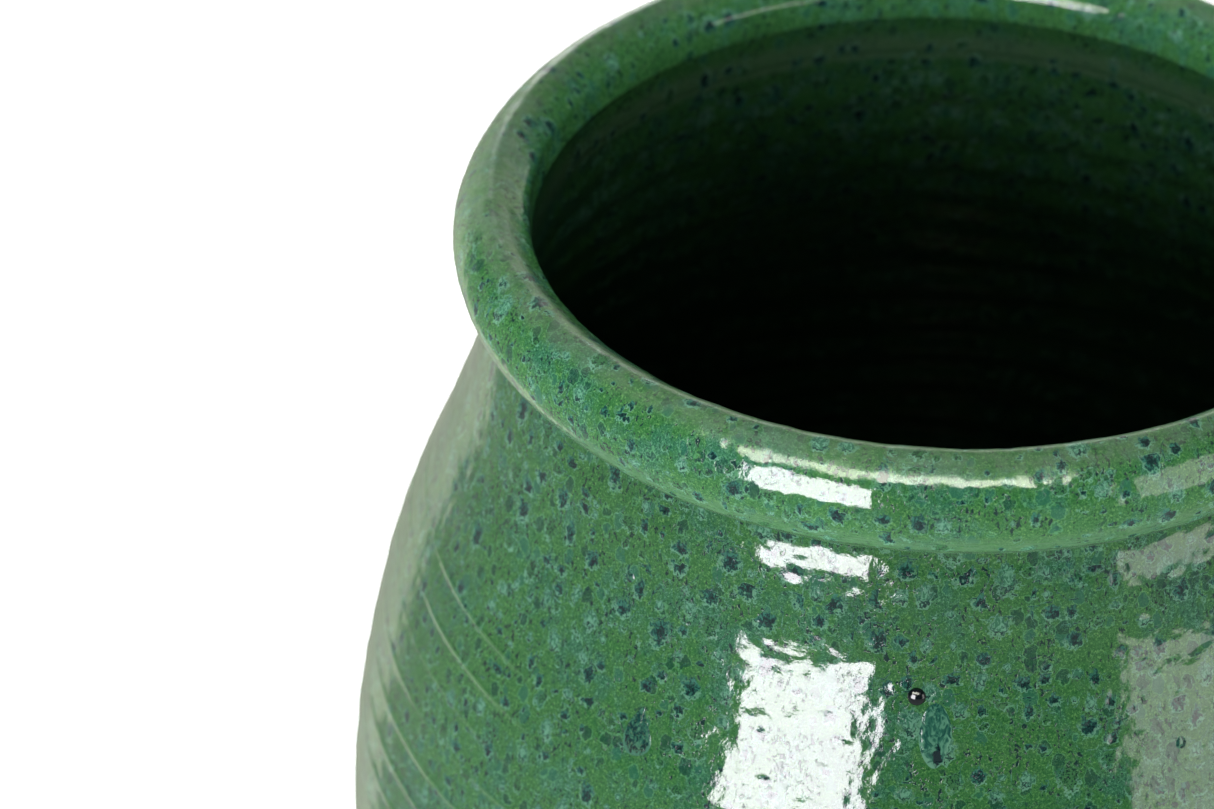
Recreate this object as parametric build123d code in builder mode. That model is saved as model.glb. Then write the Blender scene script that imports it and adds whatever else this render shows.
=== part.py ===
"""A glazed terracotta jar planter, in millimetres.

The jar is thrown on the wheel in one piece of clay: a foot ring, a floor with a drain
hole, a wall that swells to a wide belly and draws in to a neck, and a collar rolled
outwards at the mouth. Two coats of glaze are fired onto the clay, one outside and one
inside, and a few drips and beads of glaze stand proud of the outer coat.

+Z is up, the origin is on the ground at the jar's axis, and the front faces -Y.
"""

import os
from math import copysign, cos, radians, sin

from build123d import *

# ------------------------------------------------------------------ driving dimensions

overall_height = 400.0      # ground to the crown of the collar, over the glaze
rim_diameter = 280.0        # outside of the collar, over the glaze
glaze_thickness = 1.0

# Rolled collar, measured over the glaze
collar_width = 22.4
collar_height = 32.0
collar_fullness = 1.7       # superellipse exponent: 2 is an ellipse, less is leaner
collar_points = 24

# Outside of the clay wall
neck_radius = 126.0
neck_height = 367.0
neck_slope = 15.7           # degrees from upright, just under the collar
shoulder = [(135.8, 333.0), (143.2, 310.0), (152.5, 287.0), (163.2, 252.0), (171.2, 206.0)]
belly_radius = 172.8
belly_height = 172.0
foot_radius = 120.0

# Clay thickness
throat_wall = 8.0           # neck and upper shoulder
belly_wall = 9.0
floor_thickness = 14.0
floor_radius = 108.0        # where the inside of the wall would meet the floor
floor_corner_radius = 22.0

# Foot ring and drain
foot_recess = 5.0           # the floor stands clear of the ground by this much
foot_ring_width = 15.0
foot_edge_radius = 3.0
drain_radius = 12.5
drain_notch_radius = 3.5
drain_notch_count = 3
first_drain_notch = 90.0    # degrees from +X

# Where each coat of glaze stops
outer_glaze_line = 11.0     # height above the ground
inner_glaze_setback = 4.0   # ring of bare clay around the drain hole

# Drips of glaze: angle from the front about +Z, height, width and length
drips = [
    (-36.0, 299.0, 9.6, 13.6),
    (-3.2, 315.0, 7.6, 17.0),
]
drip_tip_radius = 0.8
drip_proud = 0.7
drip_edge_radius = 0.45
drip_seat = 0.5             # how far a drip sinks into the coat under it

# Beads of glaze: angle from the front about +Z, height and radius
beads = [
    (-5.4, 326.5, 1.9),
    (-41.7, 337.8, 1.5),
    (24.0, 306.0, 1.6),
]
bead_seat = 0.8             # how far a bead sinks into the coat under it

# --------------------------------------------------------------------- derived values

collar_center_height = overall_height - collar_height / 2
collar_center_radius = (rim_diameter - collar_width) / 2
clay_collar_half_width = collar_width / 2 - glaze_thickness
clay_collar_half_height = collar_height / 2 - glaze_thickness
lip_radius = collar_center_radius - clay_collar_half_width   # innermost clay of the collar
floor_height = foot_recess + floor_thickness
foot_ring_inner_radius = foot_radius - foot_ring_width
inner_glaze_start = drain_radius + inner_glaze_setback

# The wall from the neck down to the belly: outside, inside, and the middle of the clay
outer_wall = [(neck_radius, neck_height), *shoulder, (belly_radius, belly_height)]
inner_wall = [
    (lip_radius, collar_center_height),
    *[(radius - throat_wall, height) for radius, height in shoulder[:3]],
    *[(radius - belly_wall, height) for radius, height in shoulder[3:]],
    (belly_radius - belly_wall, belly_height),
]
middle_of_wall = [
    (collar_center_radius, collar_center_height),
    *[(radius - throat_wall / 2, height) for radius, height in outer_wall],
]
down_the_neck = (sin(radians(neck_slope)), -cos(radians(neck_slope)))
straight_down = (0, -1)


def collar_outline(coat):
    """Points round the section of the collar, a superellipse, with a coat over the clay."""
    power = 2 / collar_fullness
    points = []
    for step in range(collar_points):
        across = cos(radians(360 * step / collar_points))
        up = sin(radians(360 * step / collar_points))
        points.append((
            collar_center_radius + (clay_collar_half_width + coat) * copysign(abs(across) ** power, across),
            collar_center_height + (clay_collar_half_height + coat) * copysign(abs(up) ** power, up),
        ))
    return points


def jar_section(coat):
    """Section of the jar with a coat over its outside, its inside and its collar."""
    outside = [(radius + coat, height) for radius, height in outer_wall]
    inside = [(radius - coat, height) for radius, height in inner_wall]
    floor_edge = (floor_radius - coat, floor_height + coat)
    with BuildSketch(Plane.XZ) as section:
        # Wall, floor and foot
        with BuildLine():
            Spline(*outside, tangents=[down_the_neck, straight_down])
            TangentArc(outside[-1], (foot_radius + coat, 0), tangent=straight_down)
            Polyline(
                (foot_radius + coat, 0),
                (foot_ring_inner_radius, 0),
                (foot_ring_inner_radius, foot_recess),
                (drain_radius, foot_recess),
                (drain_radius, floor_height + coat),
                floor_edge,
            )
            TangentArc(inside[-1], floor_edge, tangent=straight_down)
            Spline(*inside, tangents=[straight_down, straight_down])
            Polyline(inside[0], middle_of_wall[0], outside[0])
        make_face()
        foot_corners = section.vertices().filter_by(lambda corner: corner.Y < foot_recess / 2)
        fillet(foot_corners, foot_edge_radius)
        floor_corner = section.vertices().sort_by_distance(floor_edge)[0]
        fillet(floor_corner, floor_corner_radius - coat)
        # Rolled collar
        with BuildLine():
            Spline(*collar_outline(coat), periodic=True)
        make_face()
    return section


def plane_on_glaze(angle, height):
    """Plane on the outer coat at an angle from the front, its y axis up the wall."""
    outwards = Vector(0, -1, 0).rotate(Axis.Z, angle)
    ray_start = Vector(0, 0, height)
    crossings = outer_coat.part.find_intersection_points(Axis(ray_start, outwards))
    point, normal = max(crossings, key=lambda crossing: (crossing[0] - ray_start).dot(outwards))
    return Plane(point, x_dir=Vector(0, 0, 1).cross(outwards), z_dir=normal)


# ------------------------------------------------------------------------- sections

clay_section = jar_section(0)

with BuildSketch(Plane.XZ) as glaze_section:
    add(jar_section(glaze_thickness).sketch)
    add(clay_section.sketch, mode=Mode.SUBTRACT)

# Everything on the inner side of the middle of the clay, from the drain up to the lip
with BuildSketch(Plane.XZ) as inside_of_wall:
    with BuildLine():
        Polyline(*middle_of_wall)
        TangentArc(
            middle_of_wall[-1],
            (floor_radius, floor_height - floor_thickness / 2),
            tangent=straight_down,
        )
        Polyline(
            (floor_radius, floor_height - floor_thickness / 2),
            (inner_glaze_start, floor_height - floor_thickness / 2),
            (inner_glaze_start, collar_center_height),
            middle_of_wall[0],
        )
    make_face()

# --------------------------------------------------------------------------- clay body

with BuildPart() as clay_body:
    add(clay_section.sketch)
    revolve(axis=Axis.Z)
    # Notches across the foot ring let water out from under the floor
    foot_ring_middle = foot_radius - foot_ring_width / 2
    with PolarLocations(foot_ring_middle, drain_notch_count, start_angle=first_drain_notch):
        Cylinder(
            drain_notch_radius,
            foot_ring_width * 2,
            rotation=(0, 90, 0),
            mode=Mode.SUBTRACT,
        )

# ----------------------------------------------------------------------- coats of glaze

with BuildPart() as inner_glaze:
    with BuildSketch(Plane.XZ):
        add(glaze_section.sketch)
        add(inside_of_wall.sketch, mode=Mode.INTERSECT)
    revolve(axis=Axis.Z)

with BuildPart() as outer_coat:
    with BuildSketch(Plane.XZ):
        add(glaze_section.sketch)
        add(inside_of_wall.sketch, mode=Mode.SUBTRACT)
        # The foot, the underside and the drain stay bare
        with Locations((0, outer_glaze_line)):
            Rectangle(
                rim_diameter,
                overall_height,
                align=(Align.MIN, Align.MAX),
                mode=Mode.SUBTRACT,
            )
        Rectangle(
            inner_glaze_start,
            overall_height,
            align=Align.MIN,
            mode=Mode.SUBTRACT,
        )
    revolve(axis=Axis.Z)

with BuildPart() as glaze_drips:
    for angle, height, width, length in drips:
        surface = plane_on_glaze(angle, height)
        with BuildSketch(surface.offset(-drip_seat)):
            with Locations((0, (width - length) / 2)):
                Circle(width / 2)
            with Locations((0, length / 2 - drip_tip_radius)):
                Circle(drip_tip_radius)
            make_hull()
        drip = extrude(amount=drip_seat + drip_proud)
        crown = drip.faces().sort_by(Axis(surface.origin, surface.z_dir))[-1]
        fillet(crown.edges(), drip_edge_radius)
    for angle, height, radius in beads:
        with Locations(plane_on_glaze(angle, height).offset(radius - bead_seat)):
            Sphere(radius)

# The outer coat holds a seat for each drip and bead
with BuildPart() as outer_glaze:
    add(outer_coat.part)
    add(glaze_drips.part, mode=Mode.SUBTRACT)

# --------------------------------------------------------------------------- files out

os.makedirs("parts", exist_ok=True)

clay_body.part.label = "clay_body"
export_step(clay_body.part, "parts/clay_body.step")

inner_glaze.part.label = "inner_glaze"
export_step(inner_glaze.part, "parts/inner_glaze.step")

outer_glaze.part.label = "outer_glaze"
export_step(outer_glaze.part, "parts/outer_glaze.step")

glaze_drips.part.label = "glaze_drips"
export_step(glaze_drips.part, "parts/glaze_drips.step")
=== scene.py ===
"""Looks of the glazed jar planter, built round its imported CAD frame. Units are metres.

The clay body stays as the CAD node. Both coats of glaze are replaced by finely divided
shells that follow the CAD nodes' own sections, with the relief of a thrown and fired
surface: finger ridges, orange peel, bubbles, and a rolled edge where the glaze stopped
running. The drips and beads of glaze are replaced by rounded glassy ones.

Angles round the jar are measured from its front, -Y, towards +X.
"""

import math
from itertools import product
from types import SimpleNamespace

import bpy
import numpy as np
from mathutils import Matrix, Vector


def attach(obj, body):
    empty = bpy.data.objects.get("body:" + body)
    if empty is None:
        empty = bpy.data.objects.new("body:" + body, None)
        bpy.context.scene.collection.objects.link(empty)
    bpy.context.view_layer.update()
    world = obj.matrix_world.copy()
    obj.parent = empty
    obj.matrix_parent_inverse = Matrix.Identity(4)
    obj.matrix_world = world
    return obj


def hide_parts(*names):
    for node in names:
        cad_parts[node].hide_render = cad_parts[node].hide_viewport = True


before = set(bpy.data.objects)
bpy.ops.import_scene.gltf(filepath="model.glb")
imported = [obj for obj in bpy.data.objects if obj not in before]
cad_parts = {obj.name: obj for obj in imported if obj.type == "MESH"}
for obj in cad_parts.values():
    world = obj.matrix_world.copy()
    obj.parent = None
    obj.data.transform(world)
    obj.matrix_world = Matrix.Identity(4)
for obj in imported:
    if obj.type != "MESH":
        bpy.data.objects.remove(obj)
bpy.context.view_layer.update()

MM = 0.001
TAU = 2 * math.pi
scene = bpy.context.scene
random = np.random.default_rng(7)


# ------------------------------------------------------------------ the CAD sections

def section_loop(node):
    """Closed outline of a CAD node in the half plane y = 0, x > 0, as (radius, height) rows."""
    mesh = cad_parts[node].data
    corner = {v.index: (round(v.co.x, 6), round(v.co.z, 6))
              for v in mesh.vertices if abs(v.co.y) < 1e-7 and v.co.x > 0}
    neighbours = {}
    for edge in mesh.edges:
        a, b = (corner.get(i) for i in edge.vertices)
        if a and b and a != b:
            neighbours.setdefault(a, set()).add(b)
            neighbours.setdefault(b, set()).add(a)
    loop = [min(neighbours)]
    while True:
        onward = [p for p in neighbours[loop[-1]] if p not in loop[-2:]]
        if not onward or onward[0] == loop[0]:
            return np.array(loop)
        loop.append(onward[0])


def split_loop(loop, start, end):
    """The two ways round a loop from one of its points to another."""
    i = int(np.linalg.norm(loop - start, axis=1).argmin())
    loop = np.roll(loop, -i, axis=0)
    j = int(np.linalg.norm(loop - end, axis=1).argmin())
    return loop[:j + 1], np.vstack([loop[:1], loop[:j - 1:-1]])


def smooth_run(points, step):
    """Points closely spaced along a Catmull-Rom curve through the given ones."""
    before = 2 * points[0] - points[1]
    after = 2 * points[-1] - points[-2]
    p = np.vstack([before, points, after])
    out = []
    for p0, p1, p2, p3 in zip(p, p[1:], p[2:], p[3:]):
        t0, t1, t2 = (max(np.linalg.norm(d), 1e-9) for d in (p1 - p0, p2 - p1, p3 - p2))
        m1 = (p1 - p0) / t0 - (p2 - p0) / (t0 + t1) + (p2 - p1) / t1
        m2 = (p2 - p1) / t1 - (p3 - p1) / (t1 + t2) + (p3 - p2) / t2
        t = np.linspace(0, 1, max(2, int(t1 / step)), endpoint=False)[:, None]
        out.append((2 * t**3 - 3 * t**2 + 1) * p1 + (t**3 - 2 * t**2 + t) * t1 * m1
                   + (3 * t**2 - 2 * t**3) * p2 + (t**3 - t**2) * t1 * m2)
    return np.vstack(out + [points[-1:]])


def smooth_path(points, step, corner=math.radians(15)):
    """The same along a path whose turns sharper than corner are kept."""
    d = np.diff(points, axis=0)
    heading = np.unwrap(np.arctan2(d[:, 1], d[:, 0]))
    corners = [0, *(np.flatnonzero(abs(np.diff(heading)) > corner) + 1), len(points) - 1]
    runs = [smooth_run(points[a:b + 1], step) for a, b in zip(corners, corners[1:])]
    return np.vstack([run[:-1] for run in runs] + [points[-1:]])


def lengths_along(path):
    """How far along a path each of its points is."""
    return np.concatenate([[0], np.cumsum(np.linalg.norm(np.diff(path, axis=0), axis=1))])


def soften(path, reach):
    """Averages a path over reach either way, which rounds its corners, and keeps its ends."""
    spacing = 0.1 * MM
    s = lengths_along(path)
    even = np.linspace(0, s[-1], int(s[-1] / spacing))
    flat = np.stack([np.interp(even, s, path[:, k]) for k in (0, 1)], 1)
    width = int(reach / spacing)
    kernel = np.hanning(2 * width + 3)[1:-1]
    padded = np.vstack([2 * flat[0] - flat[width:0:-1], flat, 2 * flat[-1] - flat[-2:-width - 2:-1]])
    return np.stack([np.convolve(padded[:, k], kernel / kernel.sum(), "valid") for k in (0, 1)], 1)


outer_loop = section_loop("outer_glaze")
inner_loop = section_loop("inner_glaze")
lip_height = float(inner_loop[:, 1].max())
drain_edge = inner_loop[:, 0].min()

foot_corner = outer_loop[np.lexsort((-outer_loop[:, 0], outer_loop[:, 1]))[0]]
at_lip = outer_loop[abs(outer_loop[:, 1] - lip_height) < 1e-5]
lip_corner = at_lip[at_lip[:, 0].argmin()]
at_drain = inner_loop[abs(inner_loop[:, 0] - drain_edge) < 1e-5]
drain_corner = at_drain[at_drain[:, 1].argmax()]

outer_seen, outer_hidden = sorted(
    split_loop(outer_loop, foot_corner, lip_corner), key=lambda run: -run[:, 0].max())
inner_seen, inner_hidden = sorted(
    split_loop(inner_loop, lip_corner, drain_corner), key=lambda run: run[:, 0].max())

# One path from below the glaze line at the foot, over the collar and down to the drain.
# It starts a little lower than the CAD coat does, because the real edge wanders.
EDGE_WANDER = 4 * MM
PATH_STEP = 0.3 * MM
CORNER_ROUNDING = 1.6 * MM
down_the_foot = outer_seen[0] - outer_seen[1]
down_the_foot *= EDGE_WANDER / np.linalg.norm(down_the_foot)
outer_seen = np.vstack([outer_seen[0] + down_the_foot, outer_seen])
outer_path = soften(smooth_path(outer_seen, PATH_STEP), CORNER_ROUNDING)
inner_path = soften(smooth_path(inner_seen, PATH_STEP), CORNER_ROUNDING)
path = np.vstack([outer_path[:-1], inner_path])
path_s = lengths_along(path)
lip_s = path_s[len(outer_path) - 1]
end_s = path_s[-1]

along = np.gradient(path, path_s, axis=0)
along /= np.linalg.norm(along, axis=1)[:, None]
path_normal = np.stack([along[:, 1], -along[:, 0]], 1)

COLLAR_HALF_HEIGHT_AT_MOST = 20 * MM
collar_radius = float(path[path[:, 1] > lip_height - COLLAR_HALF_HEIGHT_AT_MOST][:, 0].max())
top = float(path[:, 1].max())
collar_height = 2 * (top - lip_height)
neck_height = top - collar_height

# Where the neck meets the collar, and the inner edge of the collar, along the path
ROUND_THE_COLLAR = 45 * MM        # less than the way from that corner to the lip
INNER_EDGE_TO_LIP = 8.5 * MM
past_belly = (path_s > path_s[path[:, 0].argmax()]) & (path_s < lip_s - ROUND_THE_COLLAR)
corner_s = path_s[past_belly][path[past_belly][:, 0].argmin()]
inner_edge_s = lip_s - INNER_EDGE_TO_LIP


def radius_at(s):
    """Radius of the path, this far along it."""
    return np.interp(s, path_s, path[:, 0])


def height_at(s):
    """Height of the path, this far along it."""
    return np.interp(s, path_s, path[:, 1])


inner_edge_radius = float(radius_at(inner_edge_s))


# ------------------------------------------------------------------------- relief

LATTICE = 32      # cells before the noise repeats


def noise(points, size, seed):
    """Smooth random field, about -1 to 1, with lumps of this size."""
    gradients = np.random.default_rng(seed).normal(size=(LATTICE, LATTICE, LATTICE, 3))
    gradients /= np.linalg.norm(gradients, axis=3)[..., None]
    cell = points / size + 100
    base = np.floor(cell).astype(int)
    inside = cell - base
    fade = inside**3 * (inside * (inside * 6 - 15) + 10)
    total = 0
    for corner in product((0, 1), repeat=3):
        i, j, k = ((base + corner) % LATTICE).T
        weight = np.where(corner, fade, 1 - fade).prod(1)
        total = total + weight * ((inside - corner) * gradients[i, j, k]).sum(1)
    return total * 1.7


def step(value, low, high):
    """Rises smoothly from 0 at low to 1 at high, which may be the lower of the two."""
    t = np.clip((value - low) / (high - low), 0, 1)
    return t * t * (3 - 2 * t)


def place(radius, angle, height):
    """Points at a radius, an angle from the front and a height."""
    return np.stack([radius * np.sin(angle), -radius * np.cos(angle), height], -1)


RIDGE_PITCH = 12.5 * MM
RIDGES_REACH = 264 * MM                  # the height where they fade out
RIDGES_REACH_HIGHER = 50 * MM            # this much higher on the left
HIGHEST_RIDGES = math.radians(-75)       # at this angle


def finger_ridges(points, angle):
    """How many ridges up each point is, and how strong: they climb the belly in a spiral."""
    height = points[:, 2]
    count = height / RIDGE_PITCH + angle / TAU + 0.2 * noise(points, 60 * MM, 3)
    leftness = np.maximum(np.cos(angle - HIGHEST_RIDGES), 0)
    reach = RIDGES_REACH + RIDGES_REACH_HIGHER * leftness ** 3
    strength = step(height, reach, reach - 20 * MM) * step(height, 20 * MM, 150 * MM)
    return count, strength * step(noise(points, 50 * MM, 4), -0.6, 0.3)


def relief(s, angle):
    """How far the fired surface stands off the smooth coat, along its normal."""
    radius, height = radius_at(s), height_at(s)
    points = place(radius, angle, height)
    outside = s < lip_s
    inside = step(s, lip_s + 4 * MM, lip_s + 30 * MM)
    body = step(height, neck_height, neck_height - 8 * MM) * outside
    turn = angle / TAU

    # The hand-thrown form isn't quite round
    d = 0.30 * MM * noise(points, 90 * MM, 1) + 0.16 * MM * noise(points, 38 * MM, 2)
    # The throwing left shallow waves and thin ridges that climb in a spiral
    sway = 0.35 * noise(points, 60 * MM, 3)
    d += body * 0.05 * MM * np.sin(TAU * (height / (25 * MM) + turn + sway))
    count, strength = finger_ridges(points, angle)
    d += outside * 0.30 * MM * strength * np.sin(TAU / 2 * count) ** 24
    d += inside * 0.45 * MM * np.sin(TAU * (height / (15 * MM) - turn + sway))
    # A shallow hollow round the neck, pressed in while the collar was turned, and its ripples
    waves_up = np.maximum((height - neck_height + 34.5 * MM) / (41 * MM), -0.5)
    hollow = step(height, neck_height - 120 * MM, neck_height - 50 * MM)
    hollow = hollow * step(height, neck_height, neck_height - 9 * MM) * outside
    d -= hollow * 0.40 * MM * np.cos(TAU * waves_up)
    d += hollow * 0.05 * MM * noise(points * (1, 1, 3), 10 * MM, 11)
    # Fine turning lines low on the collar
    collar = radius > collar_radius - 11 * MM
    collar = collar * step(height, neck_height + 1 * MM, neck_height + 3 * MM)
    under = collar * step(height, neck_height + 13 * MM, neck_height + 8 * MM) * outside
    d += under * 0.05 * MM * np.sin(TAU * height / (1.9 * MM))
    # Glaze pools under the collar, and the clay turns down sharply at the collar's inner edge
    d += 0.8 * MM * np.exp(-abs(s - corner_s) / (4 * MM))
    d += 1.2 * MM * np.exp(-((s - inner_edge_s) / (3.5 * MM)) ** 2)
    # The crown of the collar, smoothed by a wet finger, is a little uneven
    d += 0.16 * MM * step(height, top - 7 * MM, top - 1 * MM) * noise(points, 13 * MM, 7)
    # Orange peel
    calm = 1 - 0.6 * inside
    d += calm * (0.11 * MM * noise(points, 7 * MM, 5) + 0.06 * MM * noise(points, 3.2 * MM, 6))
    return d


def edge_roll(distance):
    """How a coat rises in a fat roll near its free edge, and drops close to the clay at it."""
    thinning = 1.0 * MM * np.exp(-distance / (0.9 * MM))
    roll = 0.9 * MM * np.exp(-((distance - 3.2 * MM) / (2.6 * MM)) ** 2)
    return roll - thinning


NO_EDGE = 1e3     # as if a coat's free edge were this far away


def surface(s, angle, first_s, last_s, pressed=0):
    """Points of the fired surface of a coat that runs from first_s to last_s along the path."""
    d = relief(s, angle) + edge_roll(s - first_s) + edge_roll(last_s - s) + pressed
    radius = radius_at(s) + d * np.interp(s, path_s, path_normal[:, 0])
    height = height_at(s) + d * np.interp(s, path_s, path_normal[:, 1])
    return place(radius, angle, height)


def wandering_edge(angle):
    """How far along the path from its start the glaze stopped at the foot."""
    ring = place(np.full_like(angle, 120 * MM), angle, np.zeros_like(angle))
    return EDGE_WANDER * (1.1 + 0.9 * noise(ring, 30 * MM, 8) + 0.35 * noise(ring, 9 * MM, 9))


def drain_edge_wander(angle):
    """How far short of the CAD coat's edge the glaze stopped round the drain."""
    ring = place(np.full_like(angle, drain_edge), angle, np.zeros_like(angle))
    return 1.2 * MM * (1 + noise(ring, 12 * MM, 10))


# ---------------------------------------------------------------- bubbles and blisters

# Kinds of spot: dark up to 0.5, pale up to 0.75, and speckled above
DARK, PALE = 0.2, 0.6
DARK_BELOW, PALE_BELOW = 0.5, 0.75
SPOT_SPACING = 6.4 * MM
SPOT_REACH = 2.3          # how far out a spot is stored, in its radii
COLLAR_TO_LIP = 60 * MM   # how far the underside of the collar is from the lip, along the path

# Spots that stand out: degrees from the front, height, radius, height over width, kind
notable_spots = [
    (-17.7, 0.3508, 1.7 * MM, 1.1, PALE), (-17.1, 0.3433, 1.9 * MM, 1.0, DARK),
    (-45.8, 0.3210, 2.2 * MM, 1.3, PALE), (-40.0, 0.3360, 1.8 * MM, 1.5, DARK),
    (-6.0, 0.3190, 2.8 * MM, 1.3, PALE), (1.5, 0.3050, 2.2 * MM, 1.1, DARK),
    (-31.0, 0.3160, 2.4 * MM, 1.2, DARK), (-52.0, 0.3400, 1.6 * MM, 2.2, DARK),
]


def scattered_spots(first_s, last_s):
    """Spots along part of the path: how far along, angle, radius, height over width and kind."""
    found = []
    for s in np.arange(first_s, last_s, SPOT_SPACING):
        count = max(3, int(TAU * radius_at(s) / SPOT_SPACING))
        jitter = random.uniform(0.15, 0.85, (count, 2))
        size, tall, kind, keep = random.uniform(size=(4, count))
        for i in range(count):
            here, angle = s + jitter[i, 0] * SPOT_SPACING, (i + jitter[i, 1]) / count * TAU
            busy = step(height_at(here), 0.75 * top, 0.88 * top) * (here < lip_s - COLLAR_TO_LIP)
            if keep[i] < 0.74 + 0.2 * busy:
                radius = (0.7 + (1.8 + 0.9 * busy) * size[i] ** 1.5) * MM
                found.append((here, angle, radius, 0.75 + 1.1 * tall[i] ** 2, kind[i]))
    return found


def outer_s(height):
    """How far along the path the outside of the body is at a height."""
    outside = path_s < lip_s - COLLAR_TO_LIP
    return np.interp(height, path[outside][:, 1], path_s[outside])


def stamp_spots(stations, angles, spots):
    """For each point, where it lies in the spot round it, the spot's kind and 1, or else zeros;
    and the relief of the spots."""
    field = np.zeros((len(stations), len(angles), 4), np.float32)
    pressed = np.zeros(field.shape[:2])
    for s, angle, radius, tall, kind in spots:
        around = radius_at(s)
        reach = SPOT_REACH * radius * tall
        rows = slice(*np.searchsorted(stations, [s - reach, s + reach]))
        half = SPOT_REACH * radius / around
        first, last = np.searchsorted(angles, [(angle - half) % TAU, (angle + half) % TAU])
        columns = np.arange(first, last if last >= first else last + len(angles)) % len(angles)
        if rows.start == rows.stop or not len(columns):
            continue
        across = (angles[columns] - angle + math.pi) % TAU - math.pi
        u = (across * around / radius)[None, :] + 0 * stations[rows][:, None]
        v = ((stations[rows] - s) / (radius * tall))[:, None] + 0 * u
        rho = np.hypot(u, v)
        here = rho < SPOT_REACH
        window = field[rows][:, columns]
        window[here] = np.stack([u, v, np.full_like(u, kind), np.ones_like(u)], -1)[here]
        field[rows, columns] = window
        depth = (0.035 if kind < DARK_BELOW else -0.025) * radius
        pressed[rows, columns] -= depth * np.exp(-(rho / 0.75) ** 2)
    return field, pressed


# ------------------------------------------------------------------- the glaze shells

def graded(start, stop, spacing_at):
    """Stations from start to stop, spaced as spacing_at says."""
    fine = np.linspace(start, stop, 4000)
    count = np.concatenate([[0], np.cumsum(np.diff(fine) / spacing_at(fine[:-1]))])
    steps = int(count[-1])
    return np.interp(np.arange(steps + 1) * count[-1] / steps, count, fine)


def ring_angles():
    """Angles round the jar, closest together at the front."""
    columns = 960
    turn = np.arange(columns) / columns * TAU
    return turn - 0.35 * np.sin(turn)


def store(mesh, attribute, kind, field, values):
    """Gives every vertex its value of a new attribute."""
    mesh.attributes.new(attribute, kind, "POINT").data.foreach_set(field, values.reshape(-1))


def make_piece(mesh, spots):
    """An object from a mesh, shaded smooth, with where each point lies in its spot."""
    mesh.shade_smooth()
    mesh.set_sharp_from_angle(angle=math.radians(50))
    store(mesh, "spot", "FLOAT_COLOR", "color", spots)
    piece = bpy.data.objects.new(mesh.name, mesh)
    scene.collection.objects.link(piece)
    return piece


def closed_shell(name, seen, hidden, spots, ridges=(0, 0)):
    """A closed mesh from two grids of rings: the seen side, and the hidden side run backwards."""
    rings = np.concatenate([seen, hidden])
    rows, columns = rings.shape[:2]
    index = np.arange(rows * columns).reshape(rows, columns)
    below, above = index, np.roll(index, -1, axis=0)
    corners = [below, np.roll(below, -1, axis=1), np.roll(above, -1, axis=1), above]
    faces = np.stack(corners, -1).reshape(-1, 4)
    mesh = bpy.data.meshes.new(name)
    mesh.vertices.add(rows * columns)
    mesh.vertices.foreach_set("co", rings.reshape(-1).astype(np.float32))
    mesh.loops.add(faces.size)
    mesh.loops.foreach_set("vertex_index", faces.reshape(-1).astype(np.int32))
    mesh.polygons.add(len(faces))
    mesh.polygons.foreach_set("loop_start", np.arange(0, faces.size, 4, dtype=np.int32))
    mesh.update(calc_edges=True)
    mesh.validate()
    all_spots = np.zeros((rows, columns, 4), np.float32)
    all_spots[:len(seen)] = spots
    for attribute, values in zip(("ridge_count", "ridge_strength"), ridges):
        everywhere = np.zeros((rows, columns), np.float32)
        everywhere[:len(seen)] = values
        store(mesh, attribute, "FLOAT", "value", everywhere)
    return make_piece(mesh, all_spots)


def hidden_rings(hidden, angles, shift):
    """Rings of a coat's hidden side, which lies on the clay, moved as shift says."""
    spacing = 9 * MM
    s = lengths_along(hidden)
    stations = np.linspace(0, s[-1], int(s[-1] / spacing))
    radius, height = (np.interp(stations, s, hidden[:, k])[:, None] for k in (0, 1))
    angle = np.broadcast_to(angles, (len(stations), len(angles)))
    rings = place(radius + 0 * angle, angle, height + 0 * angle)
    return rings + shift(stations, s[-1], angle)


def outer_spacing(s):
    """Rings lie closer together higher up, where the photo shows the jar."""
    height = height_at(s)
    closer = 0.7 * step(height, 0.36 * top, 0.42 * top) + 0.3 * step(height, 0.64 * top, 0.70 * top)
    return (1.8 - closer) * MM


def make_outer_glaze():
    """The outside coat, from a wandering edge at the foot, over the collar, to the lip."""
    angles = ring_angles()
    low = wandering_edge(angles)
    blend_over = 24 * MM
    stations = graded(0, lip_s, outer_spacing)
    stations = np.append(stations[stations < lip_s - 0.4 * MM], [lip_s - 0.05 * MM, lip_s])
    s = stations[:, None] + low * (1 - step(stations, 0, blend_over))[:, None]
    angle = np.broadcast_to(angles, s.shape)
    notable = [(outer_s(z), math.radians(degrees) % TAU, *rest) for degrees, z, *rest in notable_spots]
    spots, pressed = stamp_spots(stations, angles, scattered_spots(0, lip_s - 8 * MM) + notable)
    first_s = np.broadcast_to(low, s.shape).ravel()
    seen = surface(s.ravel(), angle.ravel(), first_s, NO_EDGE, pressed.ravel())
    down = -along[0]

    def shift(stations, total, angle):
        near_foot = 1 - step(stations, 0, blend_over)[:, None]
        reach = (EDGE_WANDER - low) * near_foot
        return place(down[0] * reach, angle, down[1] * reach)

    hidden = hidden_rings(outer_hidden, angles, shift)[::-1]
    smooth = place(radius_at(s), angle, height_at(s)).reshape(-1, 3)
    ridges = [values.reshape(s.shape) for values in finger_ridges(smooth, angle.ravel())]
    return closed_shell("outer_glaze_coat", seen.reshape(*s.shape, 3), hidden, spots, ridges)


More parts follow.
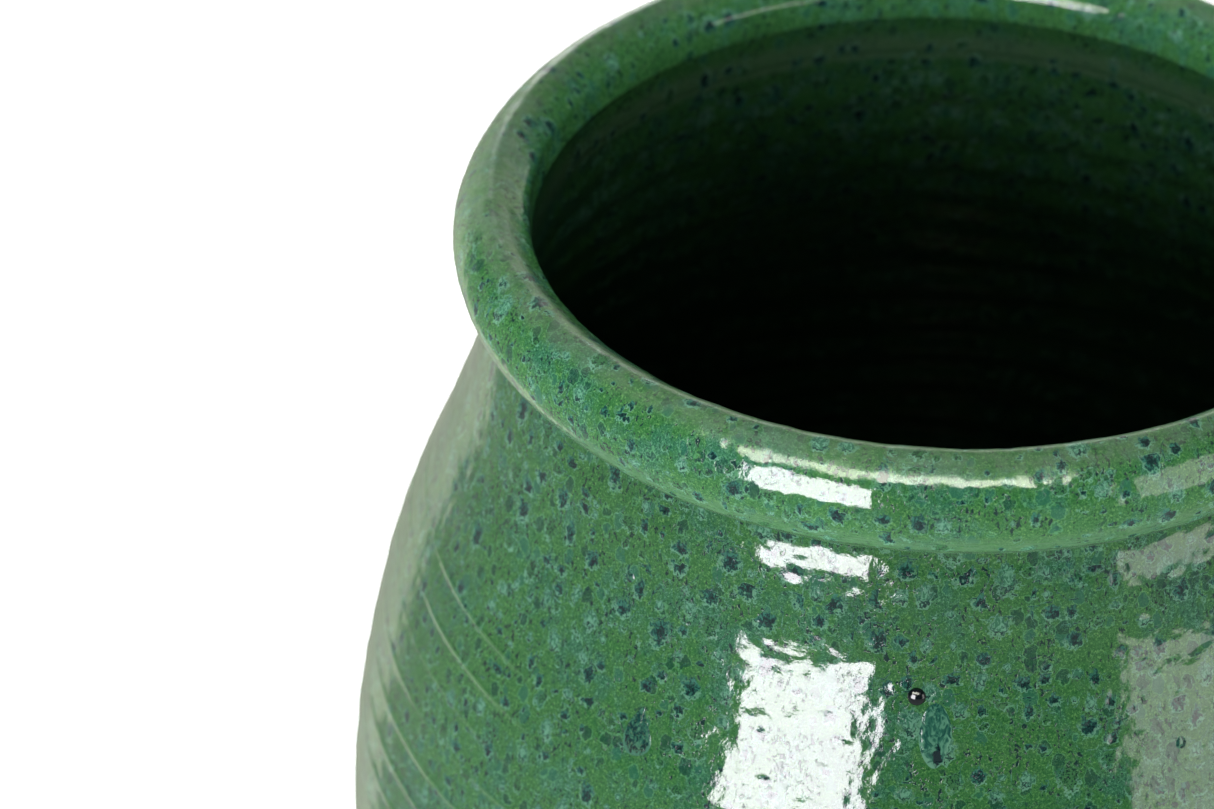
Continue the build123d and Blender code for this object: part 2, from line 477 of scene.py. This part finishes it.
def make_inner_glaze():
    """The inside coat, from the lip down over the floor to a wandering edge round the drain."""
    angles = ring_angles()[::2]
    stop = drain_edge_wander(angles)
    blend_over = 20 * MM
    spacing = 1.7 * MM
    stations = graded(lip_s, end_s, lambda s: np.full_like(s, spacing))
    stations = np.concatenate([[lip_s, lip_s + 0.05 * MM], stations[stations > lip_s + 0.5 * MM]])
    s = stations[:, None] - stop * step(stations, end_s - blend_over, end_s)[:, None]
    angle = np.broadcast_to(angles, s.shape)
    spots, pressed = stamp_spots(stations, angles, scattered_spots(lip_s + 8 * MM, end_s - 20 * MM))
    last_s = np.broadcast_to(end_s - stop, s.shape).ravel()
    seen = surface(s.ravel(), angle.ravel(), -NO_EDGE, last_s, pressed.ravel())

    def shift(stations, total, angle):
        reach = stop * step(stations, total - blend_over, total)[:, None]
        return place(reach, angle, np.zeros_like(angle))

    hidden = hidden_rings(inner_hidden, angles, shift)[::-1]
    return closed_shell("inner_glaze_coat", seen.reshape(*s.shape, 3), hidden, spots)


# ---------------------------------------------------------------------- drips and beads

TEARDROP, PALE_DROP, BEAD = 0.1, 0.5, 0.9       # kinds of drip
PALE_DROP_ABOVE, BEAD_ABOVE = 0.3, 0.7
SEAT = 0.4 * MM             # how far a drip goes down into the coat
EDGE_SUNK = 0.04 * MM       # how far its edge lies under the surface

# Degrees from the front, height, half width, half length, how proud, how pointed, and kind
drips = [
    (-36.0, 0.2995, 4.6 * MM, 7.8 * MM, 0.35 * MM, 1.3, TEARDROP),
    (-3.2, 0.3165, 4.6 * MM, 10.5 * MM, 0.25 * MM, 0.35, PALE_DROP),
    (-5.4, 0.3258, 2.5 * MM, 2.5 * MM, 1.3 * MM, 0, BEAD),
    (-41.7, 0.3378, 1.6 * MM, 1.8 * MM, 0.3 * MM, 0.2, TEARDROP),
    (24.0, 0.3060, 1.7 * MM, 1.9 * MM, 0.3 * MM, 0.2, TEARDROP),
]


def drip_outline(t, degrees, pinch, kind):
    """Outline of a drip, about 1 from its middle each way; pinch draws its top out to a point."""
    across = np.sin(t) * abs(np.sin(t / 2)) ** pinch
    outline = np.stack([across / across.max(), np.cos(t)], 1)
    if kind != BEAD:
        outline += 0.05 * np.stack([np.sin(3 * t + degrees), np.cos(2 * t + degrees)], 1)
    return outline


def dome_faces(base, around, rings):
    """Faces of a dome over a flat bottom: its rings, its crown, its bottom ring and the middle."""
    faces = []
    ring = [base + k * around for k in range(rings)]
    crown, under = base + rings * around, base + rings * around + 1
    bottom = under + around
    for i in range(around):
        j = (i + 1) % around
        faces += [(low + j, low + i, low + around + i, low + around + j) for low in ring[:-1]]
        faces.append((ring[-1] + j, ring[-1] + i, crown))
        faces.append((base + i, base + j, under + j, under + i))
        faces.append((under + i, under + j, bottom))
    return faces


def make_drips():
    """Every drip and bead as a low rounded dome that follows the surface under it."""
    around, rings = 72, 16
    t = np.arange(around) / around * TAU
    share = np.linspace(1, 0, rings, endpoint=False)
    verts, faces, marks = [], [], []
    for degrees, height, half_width, half_length, proud, pinch, kind in drips:
        outline = drip_outline(t, degrees, pinch, kind)
        middle = np.array([0, -0.35 * pinch])
        steep = 0.5 if kind == BEAD else 0.9
        faces += dome_faces(len(verts), around, rings)
        local = [middle + r * (outline - middle) for r in share] + [middle[None, :]]
        rise = [proud * (1 - r**2) ** steep - EDGE_SUNK for r in share] + [proud - EDGE_SUNK]
        at = outer_s(height)
        for flat, up in [*zip(local, rise), (local[0], -SEAT), (local[-1], -SEAT)]:
            s = at + flat[:, 1] * half_length
            angle = math.radians(degrees) + flat[:, 0] * half_width / radius_at(at)
            verts += surface(s, angle, -NO_EDGE, NO_EDGE, up).tolist()
            marks += [(u, v, kind, 1.0) for u, v in flat]
    mesh = bpy.data.meshes.new("glaze_drip_domes")
    mesh.from_pydata(verts, [], faces)
    return make_piece(mesh, np.array(marks, np.float32))


outer_glaze = make_outer_glaze()
inner_glaze = make_inner_glaze()
glaze_drips = make_drips()
for piece, node in (
        (outer_glaze, "outer_glaze"), (inner_glaze, "inner_glaze"), (glaze_drips, "glaze_drips")):
    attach(piece, "root")
    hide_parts(node)


# ---------------------------------------------------------------------- materials

class Shader:
    """Short way to add and join nodes in one material or world."""

    def __init__(self, owner):
        owner.use_nodes = True
        self.tree = owner.node_tree
        self.tree.nodes.clear()

    def add(self, kind, inputs=None, **settings):
        """A node of this kind; an input is joined to if it's a socket, and set otherwise."""
        made = self.tree.nodes.new("ShaderNode" + kind)
        for key, value in settings.items():
            setattr(made, key, value)
        for key, value in (inputs or {}).items():
            if isinstance(value, bpy.types.NodeSocket):
                self.tree.links.new(value, made.inputs[key])
            else:
                made.inputs[key].default_value = value
        return made

    def math(self, operation, a, b=0.0):
        """One sum on numbers."""
        return self.add("Math", {0: a, 1: b}, operation=operation).outputs[0]

    def times(self, product, *others):
        """The product of all of them."""
        for other in others:
            product = self.math("MULTIPLY", product, other)
        return product

    def vector(self, operation, a, b=(0, 0, 0)):
        """One sum on vectors."""
        return self.add("VectorMath", {0: a, 1: b}, operation=operation).outputs[0]

    def length(self, vector):
        return self.add("VectorMath", {0: vector}, operation="LENGTH").outputs["Value"]

    def part(self, vector, axis):
        """The vector's x, y or z, as axis is 0, 1 or 2."""
        return self.add("SeparateXYZ", {"Vector": vector}).outputs[axis]

    def spread(self, value, low, high, to_low=0.0, to_high=1.0):
        """Smoothly maps low..high to to_low..to_high, flat outside."""
        return self.add("MapRange", {
            "Value": value, "From Min": low, "From Max": high, "To Min": to_low, "To Max": to_high,
        }, interpolation_type="SMOOTHSTEP").outputs[0]

    def noise(self, where, size, detail=2.0, roughness=0.5, distortion=0.0):
        """Noise with lumps of this size in metres."""
        return self.add("TexNoise", {
            "Vector": where, "Scale": 1 / size, "Detail": detail,
            "Roughness": roughness, "Distortion": distortion}).outputs["Fac"]

    def line(self, value, middle, full, gone):
        """1 where value is within full of middle, falling smoothly to 0 at gone from it."""
        off = self.math("ABSOLUTE", self.math("SUBTRACT", value, middle))
        return self.spread(off, full, gone, 1.0, 0.0)

    def scatter(self, where, size, detail, reach):
        """Random vector, up to half of reach each way, with lumps of this size."""
        random = self.add("TexNoise", {"Vector": where, "Scale": 1 / size, "Detail": detail})
        centred = self.vector("SUBTRACT", random.outputs["Color"], (0.5, 0.5, 0.5))
        return self.vector("MULTIPLY", centred, reach)

    def grey(self, value):
        """The grey of this brightness."""
        return self.add("CombineColor", {0: value, 1: value, 2: value}).outputs[0]

    def ramp(self, value, stops):
        """The colour at value between stops, which are pairs of position and colour."""
        made = self.add("ValToRGB", {"Fac": value})
        elements = made.color_ramp.elements
        while len(elements) < len(stops):
            elements.new(0.5)
        for element, (position, color) in zip(elements, stops):
            element.position = position
            element.color = color
        return made.outputs[0]

    def mix(self, factor, a, b, blend="MIX"):
        """From colour a at factor 0 to colour b at 1."""
        made = self.add("Mix", data_type="RGBA", blend_type=blend)
        for socket, value in ((made.inputs[0], factor), (made.inputs[6], a), (made.inputs[7], b)):
            if isinstance(value, bpy.types.NodeSocket):
                self.tree.links.new(value, socket)
            else:
                socket.default_value = value
        return made.outputs[2]


def srgb(red, green, blue):
    """A display colour, 0 to 255, as the linear colour that shaders use."""
    def linear(c):
        c /= 255
        return c / 12.92 if c <= 0.04045 else ((c + 0.055) / 1.055) ** 2.4
    return (linear(red), linear(green), linear(blue), 1)


# How the glaze runs from dark to pale with its grain, in its leaf green and bluish green parts
LEAF_GREENS = [
    (0.32, srgb(32, 86, 44)), (0.46, srgb(54, 110, 58)),
    (0.56, srgb(62, 118, 64)), (0.70, srgb(114, 164, 92))]
BLUISH_GREENS = [
    (0.32, srgb(20, 70, 56)), (0.46, srgb(44, 102, 74)),
    (0.56, srgb(52, 110, 80)), (0.70, srgb(112, 168, 136))]
GLAZE_IOR = 1.52
# Painted shade: how dark the glaze is painted past the collar's inner edge, and far down inside
LIP_PAINTED_SHADE, DEEP_PAINTED_SHADE = 0.45, 0.09      # brightness past the collar's inner edge, and far down
COLLAR_PAINTED_LIGHT = 1.38                     # painted light: the glaze on the collar is drawn this much brighter, for light falling on it from above
# Tint of the painted light and shade
GREEN_TINT = (0.9, 1.0, 0.99)


def glaze_fields(sh):
    """Positions and noises that several parts of the glaze share."""
    f = SimpleNamespace()
    f.where = sh.add("TexCoord").outputs["Object"]
    f.run = sh.vector("MULTIPLY", f.where, (1, 1, 0.6))      # the glaze ran downwards a little
    f.level = sh.part(f.where, 2)
    f.grain = sh.noise(f.where, 0.6 * MM, detail=2, roughness=0.6, distortion=0.8)
    f.patch = sh.noise(f.run, 4.5 * MM, detail=3, roughness=0.6, distortion=1.0)
    f.fibre = sh.noise(f.run, 1.5 * MM, detail=1, distortion=2.4)
    f.thread = sh.times(sh.line(f.fibre, 0.5, 0.0, 0.03), sh.spread(f.patch, 0.40, 0.60, 0.2, 1.0))
    return f


def ground_color(sh, f):
    """Leaf green to bluish green, with fine grain and pale filaments."""
    cloud = sh.noise(f.where, 22 * MM, detail=3, roughness=0.6)
    blueness = sh.math("ADD", sh.times(cloud, 0.7), sh.times(f.patch, 0.5))
    leaf, blue = sh.ramp(f.grain, LEAF_GREENS), sh.ramp(f.grain, BLUISH_GREENS)
    color = sh.mix(sh.spread(blueness, 0.58, 0.74, 0.03, 0.85), leaf, blue)
    filament = sh.mix(sh.spread(blueness, 0.5, 0.66), srgb(118, 162, 84), srgb(132, 182, 156))
    return sh.mix(sh.times(f.thread, 0.45), color, filament)


def dark_pits(sh, f, color):
    """Small dark pits in loose clusters and dark streaks; also gives where the pits are."""
    drift = sh.scatter(f.where, 20 * MM, 1.0, (30 * MM, 30 * MM, 30 * MM))
    streaky = sh.vector("MULTIPLY", sh.vector("ADD", f.where, drift), (1, 1, 0.3))
    streak = sh.noise(streaky, 1.6 * MM, detail=1, distortion=0.3)
    streak_limit = sh.spread(f.patch, 0.4, 0.7, 0.24, 0.36)
    streaks = sh.spread(sh.math("SUBTRACT", streak, streak_limit), -0.02, 0.02, 1.0, 0.0)
    pit = sh.noise(f.run, 1.15 * MM, detail=2, roughness=0.6, distortion=0.4)
    crowd = sh.noise(f.where, 8 * MM, detail=2)
    pit_limit = sh.spread(crowd, 0.36, 0.62, 0.28, 0.42)
    pits = sh.spread(sh.math("SUBTRACT", pit, pit_limit), -0.02, 0.02, 1.0, 0.0)
    color = sh.mix(sh.times(streaks, 0.75), color, srgb(26, 64, 52))
    return sh.mix(sh.times(pits, 0.92), color, srgb(13, 38, 44)), pits


def small_bubbles(sh, f, color):
    """Small bubbles under the surface, each with a pale outline."""
    swirl = sh.scatter(f.where, 1.8 * MM, 2.0, (2.8 * MM, 2.8 * MM, 2.8 * MM))
    bubble = sh.add("TexVoronoi", {
        "Vector": sh.vector("MULTIPLY", sh.vector("ADD", f.where, swirl), (1, 1, 0.75)),
        "Scale": 1 / (4.4 * MM)})
    chance, sort = (sh.part(bubble.outputs["Color"], axis) for axis in (0, 1))
    reach = sh.spread(chance, 0.30, 1.0, -0.08, 0.50)
    past_edge = sh.math("SUBTRACT", bubble.outputs["Distance"], reach)
    fill = sh.mix(sh.math("GREATER_THAN", sort, 0.55), srgb(16, 58, 52), srgb(42, 102, 82))
    fill = sh.mix(f.thread, fill, srgb(86, 144, 112))
    color = sh.mix(sh.spread(past_edge, -0.07, 0.0, 0.7, 0.0), color, fill)
    outline = sh.times(sh.line(past_edge, 0.02, 0.01, 0.045), sh.spread(chance, 0.4, 0.8, 0.0, 0.6))
    return sh.mix(outline, color, srgb(102, 164, 116))


def ridge_crests(sh, color):
    """The finger ridges' crests are crisp, and they are painted paler, partly for thinner glaze there
    and partly as a painted highlight; also gives the crests.
    """
    count = sh.add("Attribute", attribute_name="ridge_count").outputs["Fac"]
    strength = sh.add("Attribute", attribute_name="ridge_strength").outputs["Fac"]
    full, gone = 0.15 * MM / RIDGE_PITCH, 1.1 * MM / RIDGE_PITCH
    crest = sh.times(sh.line(sh.math("FRACT", count), 0.5, full, gone), strength)
    # Pale crests: partly thin glaze, partly a painted highlight
    return sh.mix(sh.times(crest, 0.55), color, srgb(126, 164, 118)), crest


def collar_marks(sh, f, color):
    """Fine turned lines low on the collar on a band painted lighter, partly as a painted reflection of
    the floor; a groove there drawn as a dark line of painted shade; and thin greyish glaze on its
    crown.
    """
    lines = sh.noise(sh.vector("MULTIPLY", f.where, (1, 1, 9)), 5 * MM, detail=2, roughness=0.7)
    above = sh.spread(f.level, neck_height, neck_height + 2 * MM)
    below = sh.spread(f.level, neck_height + 13 * MM, neck_height + 7 * MM)
    # Painted reflection: the band under the collar is painted lighter, more so along fine turned lines
    turned = sh.times(above, below, sh.spread(lines, 0.36, 0.60, 0.3, 0.95))
    color = sh.mix(turned, color, srgb(98, 134, 98))
    # Painted shade: a dark line drawn along the groove
    groove = sh.line(f.level, neck_height + 4 * MM, 0.2 * MM, 0.8 * MM)
    color = sh.mix(sh.times(groove, 0.6), color, srgb(58, 92, 60))
    crown = sh.spread(f.level, top - 5 * MM, top - 1 * MM)
    thin = sh.times(crown, sh.spread(f.patch, 0.3, 0.6, 0.1, 0.4))
    return sh.mix(thin, color, srgb(122, 140, 112))


def large_bubbles(sh, f, color):
    """The spots laid out on the mesh: dark, pale and speckled ones, with ragged pale rims that are
    brighter along the lower edge as a painted highlight.

    The mesh holds each spot's local coordinates times 1 inside it and times 0 outside, and
    that number in alpha, so dividing by alpha gives them undimmed up to the spot's edge.
    """
    spot = sh.add("Attribute", attribute_name="spot")
    alpha = spot.outputs["Alpha"]
    local = sh.add("VectorMath", {0: spot.outputs["Color"]}, operation="SCALE")
    sh.tree.links.new(sh.math("DIVIDE", 1.0, sh.math("MAXIMUM", alpha, 0.001)), local.inputs["Scale"])
    local = local.outputs[0]
    kind = sh.part(local, 2)
    ragged = sh.scatter(f.where, 1.1 * MM, 2.0, (2.0, 2.0, 0))
    bent = sh.vector("ADD", sh.vector("MULTIPLY", local, (1, 1, 0)), ragged)
    rho = sh.length(bent)
    rise = sh.part(bent, 1)
    present = sh.math("GREATER_THAN", alpha, 0.02)
    fill = sh.times(present, sh.spread(rho, 0.85, 1.05, 1.0, 0.0))

    def band(middle, half_width):
        """A thin ring of each spot."""
        return sh.times(present, sh.line(rho, middle, 0.3 * half_width, half_width))

    is_dark = sh.math("LESS_THAN", kind, DARK_BELOW)
    is_pale = sh.times(
        sh.math("GREATER_THAN", kind, DARK_BELOW), sh.math("LESS_THAN", kind, PALE_BELOW))
    is_speckled = sh.math("GREATER_THAN", kind, PALE_BELOW)

    core = sh.add("VectorMath", {0: bent, 1: (0.15, -0.2, 0)}, operation="DISTANCE").outputs["Value"]
    core = sh.times(sh.spread(core, 0.45, 0.75, 1.0, 0.0), sh.spread(f.grain, 0.62, 0.50, 0.35, 1.0))
    teal = sh.mix(sh.spread(f.fibre, 0.38, 0.62), srgb(18, 58, 60), srgb(60, 124, 106))
    dark = sh.mix(core, teal, srgb(9, 24, 36))
    pale = sh.mix(sh.spread(f.fibre, 0.40, 0.58), srgb(58, 118, 92), srgb(122, 176, 148))
    speckled = sh.mix(sh.spread(f.grain, 0.44, 0.50), srgb(12, 34, 38), srgb(62, 116, 72))
    color = sh.mix(sh.times(fill, is_dark, 0.92), color, dark)
    color = sh.mix(sh.times(fill, is_pale, 0.8), color, pale)
    color = sh.mix(sh.times(fill, is_speckled, 0.8), color, speckled)

    # Pale ones have a dark inner ring and a dark crescent low down
    color = sh.mix(sh.times(band(0.72, 0.16), is_pale, 0.6), color, srgb(26, 72, 64))
    crescent = sh.times(sh.spread(rise, -0.75, -0.3, 1.0, 0.0), sh.spread(rho, 0.6, 0.8), fill)
    color = sh.mix(sh.times(crescent, is_pale, 0.9), color, srgb(10, 32, 40))
    # Ragged pale rims, partly a painted highlight: brighter along each spot's lower edge
    pale_rim_and_painted_highlight = sh.times(band(1.12, 0.22), sh.spread(rise, -0.9, 0.9, 1.0, 0.1))
    pale_rim_and_painted_highlight = sh.times(pale_rim_and_painted_highlight, sh.spread(f.patch, 0.35, 0.55, 0.3, 1.0))
    return sh.mix(sh.times(pale_rim_and_painted_highlight, 0.7), color, srgb(128, 180, 152))


def shaded(sh, f, color, inside):
    """Painted light and shade: the glaze is painted lighter on the collar, and painted darker past its
    inner edge and far down inside, as shade in the mouth.
    """
    if inside:
        # Painted shade, darker with depth inside the jar
        light = sh.spread(
            f.level, lip_height - 130 * MM, lip_height - 25 * MM, DEEP_PAINTED_SHADE, LIP_PAINTED_SHADE)
    else:
        # Painted shade past the collar's inner edge
        radial = sh.length(sh.vector("MULTIPLY", f.where, (1, 1, 0)))
        past_edge = sh.math("SUBTRACT", radial, inner_edge_radius)
        past_edge = sh.math("ADD", past_edge, sh.times(f.patch, 1.5 * MM))
        light = sh.times(
            sh.spread(past_edge, -2.6 * MM, -0.9 * MM, LIP_PAINTED_SHADE, 1.0),
            # Painted light: the collar is drawn brighter
            sh.spread(f.level, neck_height, neck_height + 6 * MM, 1.0, COLLAR_PAINTED_LIGHT))
    tint = sh.add("CombineColor", {i: sh.times(light, share) for i, share in enumerate(GREEN_TINT)})
    return sh.mix(1.0, color, tint.outputs[0], blend="MULTIPLY")


def glaze_material(name, inside):
    """Thick mottled green glaze, glossy but for the worn crown of the collar."""
    material = bpy.data.materials.new(name)
    sh = Shader(material)
    f = glaze_fields(sh)
    color = ground_color(sh, f)
    color, pits = dark_pits(sh, f, color)
    color = small_bubbles(sh, f, color)
    color, crest = ridge_crests(sh, color)
    color = collar_marks(sh, f, color)
    color = large_bubbles(sh, f, color)
    # Painted light on the collar, and painted shade inside the mouth
    color = shaded(sh, f, color, inside)

    fine = sh.noise(f.where, 0.65 * MM, detail=1)
    ripple = sh.noise(f.where, 2.4 * MM, detail=1)
    millimetres = sh.math("ADD", sh.times(fine, 0.016), sh.times(ripple, 0.05))
    millimetres = sh.math("SUBTRACT", millimetres, sh.times(pits, 0.03))
    millimetres = sh.math("ADD", millimetres, sh.times(crest, 0.24))
    bump = sh.add("Bump", {"Height": millimetres, "Distance": 1 * MM, "Strength": 1.0})
    body = sh.add("BsdfPrincipled", {
        "Base Color": color, "IOR": GLAZE_IOR, "Normal": bump.outputs[0],
        "Roughness": sh.spread(f.level, top - 7 * MM, top - 1 * MM, 0.07, 0.28)})
    sh.add("OutputMaterial", {"Surface": body.outputs[0]})
    return material


def drip_material():
    """Deep glassy glaze: dark teal drops, a pale one with a dark low spot, and a black bead."""
    material = bpy.data.materials.new("glaze_drips")
    sh = Shader(material)
    where = sh.add("TexCoord").outputs["Object"]
    local = sh.add("Attribute", attribute_name="spot").outputs["Color"]
    kind = sh.part(local, 2)
    is_pale = sh.math("GREATER_THAN", kind, PALE_DROP_ABOVE)
    swirl = sh.noise(sh.vector("MULTIPLY", where, (1, 1, 0.5)), 1.6 * MM, detail=2, distortion=1.6)
    speck = sh.noise(where, 0.5 * MM, detail=2)
    ragged = sh.times(sh.math("SUBTRACT", swirl, 0.5), 0.7)
    rho = sh.math("ADD", sh.length(sh.vector("MULTIPLY", local, (1, 1, 0))), ragged)
    low = sh.math("ADD", sh.part(local, 1), ragged)
    teal = sh.ramp(swirl, [
        (0.36, srgb(14, 46, 48)), (0.5, srgb(30, 80, 72)), (0.62, srgb(70, 128, 100))])
    teal = sh.mix(sh.spread(low, -0.35, -0.75), teal, srgb(10, 34, 38))
    teal = sh.mix(sh.spread(speck, 0.56, 0.68, 0.0, 0.5), teal, srgb(120, 158, 112))
    pale = sh.ramp(swirl, [
        (0.36, srgb(28, 78, 70)), (0.5, srgb(48, 108, 88)), (0.64, srgb(92, 152, 124))])
    low_spot = (0.15, -0.62, PALE_DROP)
    dot = sh.add("VectorMath", {0: local, 1: low_spot}, operation="DISTANCE").outputs["Value"]
    dot = sh.math("ADD", dot, ragged)
    pale = sh.mix(sh.spread(dot, 0.18, 0.3, 1.0, 0.0), pale, srgb(12, 34, 38))
    drop = sh.mix(is_pale, teal, pale)
    edge = sh.mix(is_pale, srgb(78, 140, 112), srgb(112, 170, 140))
    drop = sh.mix(sh.spread(rho, 0.80, 0.92, 0.0, 0.8), drop, edge)
    color = sh.mix(sh.math("GREATER_THAN", kind, BEAD_ABOVE), drop, srgb(9, 18, 22))
    bump = sh.add("Bump", {"Height": swirl, "Distance": 0.06 * MM, "Strength": 1.0})
    body = sh.add("BsdfPrincipled", {
        "Base Color": color, "Roughness": 0.05, "IOR": GLAZE_IOR, "Normal": bump.outputs[0]})
    sh.add("OutputMaterial", {"Surface": body.outputs[0]})
    return material


def terracotta_material():
    """Bare fired clay: cloudy, with fine pale and dark sand."""
    material = bpy.data.materials.new("terracotta")
    sh = Shader(material)
    where = sh.add("TexCoord").outputs["Object"]
    cloud = sh.noise(where, 30 * MM, detail=4)
    sand = sh.noise(where, 0.7 * MM, detail=3, roughness=0.7)
    color = sh.ramp(cloud, [
        (0.3, srgb(150, 84, 56)), (0.5, srgb(172, 100, 68)), (0.7, srgb(188, 120, 86))])
    color = sh.mix(sh.spread(sand, 0.58, 0.72), color, srgb(206, 150, 116))
    color = sh.mix(sh.spread(sand, 0.40, 0.30), color, srgb(112, 60, 42))
    bump = sh.add("Bump", {"Height": sand, "Distance": 0.3 * MM, "Strength": 0.8})
    body = sh.add("BsdfPrincipled", {
        "Base Color": color, "Roughness": 0.85, "Normal": bump.outputs[0]})
    sh.add("OutputMaterial", {"Surface": body.outputs[0]})
    return material


def wear(piece, material):
    """Gives a piece one material, in place of any it has."""
    piece.data.materials.clear()
    piece.data.materials.append(material)


wear(outer_glaze, glaze_material("outer_glaze", inside=False))
wear(inner_glaze, glaze_material("inner_glaze", inside=True))
wear(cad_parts["clay_body"], terracotta_material())
wear(glaze_drips, drip_material())


# -------------------------------------------------------------------------- studio

BEHIND = 0.74                     # how far back a level direction points where the backdrop starts
SOFT = 0.03                       # and how sharply it starts
BACKDROP = (0.98, 1.0, 0.84)      # the colour of its reflection


def backdrop_color(brightness):
    """The reflected backdrop's colour at a brightness."""
    return (*(brightness * c for c in BACKDROP), 1)


def make_floor():
    """Pale floor that fades to the white of the surroundings away from the jar.

    The camera sees it brighter than it lights the jar, as on an overexposed sweep.
    """
    size = 12.0
    mesh = bpy.data.meshes.new("floor")
    corners = [(-size, -size, 0), (size, -size, 0), (size, size, 0), (-size, size, 0)]
    mesh.from_pydata(corners, [], [(0, 1, 2, 3)])
    floor = bpy.data.objects.new("floor", mesh)
    scene.collection.objects.link(floor)
    material = bpy.data.materials.new("floor")
    sh = Shader(material)
    where = sh.add("TexCoord").outputs["Object"]
    away = sh.length(where)
    heading = sh.vector("MULTIPLY", sh.add("NewGeometry").outputs["Incoming"], (-1, -1, 0))
    back = sh.part(sh.vector("NORMALIZE", heading), 1)
    rays = sh.add("LightPath").outputs
    bright = sh.grey(sh.spread(away, 0.13, 0.32, 2.6, 6.0))
    exposed = sh.mix(rays["Is Camera Ray"], (0.82, 0.82, 0.80, 1), bright)
    matt = sh.add("BsdfDiffuse", {"Color": exposed})
    reflected = sh.mix(sh.spread(back, BEHIND, 1.0), backdrop_color(1.15), backdrop_color(0.5))
    shown = sh.mix(rays["Is Glossy Ray"], (1, 1, 1, 1), reflected)
    white = sh.add("Emission", {"Color": shown, "Strength": 1.0})
    far = sh.times(rays["Is Camera Ray"], sh.spread(away, 0.3, 1.1))
    behind = sh.times(rays["Is Glossy Ray"], sh.spread(back, BEHIND - SOFT, BEHIND + SOFT))
    share = sh.math("ADD", far, behind)
    mixed = sh.add("MixShader", {0: share, 1: matt.outputs[0], 2: white.outputs[0]})
    sh.add("OutputMaterial", {"Surface": mixed.outputs[0]})
    mesh.materials.append(material)


def make_world():
    """White to the camera. Matt colour gets a low ring of light and some from overhead, and
    reflections show a white backdrop behind the jar and a dim room in front of it."""
    world = bpy.data.worlds.new("studio")
    scene.world = world
    sh = Shader(world)
    direction = sh.add("TexCoord").outputs["Generated"]
    up = sh.part(direction, 2)
    level = sh.vector("NORMALIZE", sh.vector("MULTIPLY", direction, (1, 1, 0)))
    right, back = (sh.part(level, axis) for axis in (0, 1))
    ring = sh.times(sh.spread(up, 0.10, 0.55, 1.05, 0.0), sh.spread(right, 0.0, 0.8, 1.0, 0.4))
    matt = sh.math("ADD", ring, sh.spread(up, 0.75, 0.95, 0.0, 1.1))
    backdrop = sh.times(
        sh.spread(back, BEHIND - SOFT, BEHIND + SOFT), sh.spread(up, 0.1, 0.85, 0.9, 0.05))
    room = 0.05
    reflected = sh.mix(1.0, sh.math("ADD", backdrop, room), backdrop_color(1), blend="MULTIPLY")
    rays = sh.add("LightPath").outputs
    strength = sh.mix(rays["Is Glossy Ray"], matt, reflected)
    light = sh.mix(rays["Is Camera Ray"], strength, (1, 1, 1, 1))
    background = sh.add("Background", {"Color": light})
    sh.add("OutputWorld", {"Surface": background.outputs[0]})


def make_panel(name, angle, distance, across, bottom, height, width, radiance, matt_radiance,
               color=(1, 1, 1), tilt=0):
    """Softbox at an angle round the jar, facing its axis and unseen by the camera.

    across shifts its middle sideways, the way that angles grow, and tilt leans it down. Its
    reflection is as bright as radiance, and it lights matt colour with matt_radiance.
    """
    a = math.radians(angle)
    out = Vector((math.sin(a), -math.cos(a), 0))
    sideways = Vector((math.cos(a), math.sin(a), 0))
    facing = -out - Vector((0, 0, math.tan(math.radians(tilt))))
    for use, strength in (("gloss", radiance), ("matt", matt_radiance)):
        light = bpy.data.lights.new(f"{name}_{use}", "AREA")
        light.shape = "RECTANGLE"
        light.size = width
        light.size_y = height
        light.energy = strength * width * height * math.pi
        light.color = color
        panel = bpy.data.objects.new(light.name, light)
        scene.collection.objects.link(panel)
        panel.location = out * distance + sideways * across + Vector((0, 0, bottom + height / 2))
        panel.rotation_euler = facing.to_track_quat("-Z", "Y").to_euler()
        panel.visible_camera = False
        panel.visible_diffuse = use == "matt"
        panel.visible_glossy = use == "gloss"


# Where the photo was taken from, found by fitting the collar's outlines
CAMERA_PLACE = (-0.6866, -8.467, 5.6009)      # from the collar's middle, in collar radii
CAMERA_TILT = 54.53                           # degrees up from looking straight down
CAMERA_LENS = 148.3                           # mm, on a sensor 36 mm wide
IN_FOCUS = (-0.02, -0.135, 0.345)             # the front of the shoulder


def make_camera():
    """Close view from above the front, framed on the mouth and the left shoulder."""
    camera = bpy.data.cameras.new("camera")
    camera.lens = CAMERA_LENS
    camera.sensor_width = 36
    camera.clip_start = 0.05
    holder = bpy.data.objects.new("camera", camera)
    scene.collection.objects.link(holder)
    holder.location = Vector((0, 0, lip_height)) + collar_radius * Vector(CAMERA_PLACE)
    holder.rotation_euler = (math.radians(CAMERA_TILT), 0, 0)
    focus = bpy.data.objects.new("focus", None)
    scene.collection.objects.link(focus)
    focus.location = IN_FOCUS
    camera.dof.use_dof = True
    camera.dof.focus_object = focus
    camera.dof.aperture_fstop = 11
    scene.camera = holder


make_floor()
make_world()
make_panel(
    "key_softbox", angle=-30, distance=1.2, across=0.03, bottom=0.248, height=0.552, width=0.56,
    radiance=20, matt_radiance=10.5, color=(0.98, 0.95, 1.0))
make_panel(
    "right_panel", angle=50, distance=1.2, across=-0.02, bottom=0.17, height=0.65, width=0.56,
    radiance=3.2, matt_radiance=1.5, color=(1.0, 0.98, 0.92))
make_panel(
    "front_strip", angle=-15, distance=1.28, across=0, bottom=1.15, height=0.37, width=1.75,
    radiance=15, matt_radiance=3, color=(1.0, 1.0, 0.86), tilt=37)
make_panel(
    "rear_panel", angle=-172, distance=1.6, across=0, bottom=0.25, height=0.9, width=0.45,
    radiance=4, matt_radiance=2)
make_camera()
scene.view_settings.view_transform = "Standard"
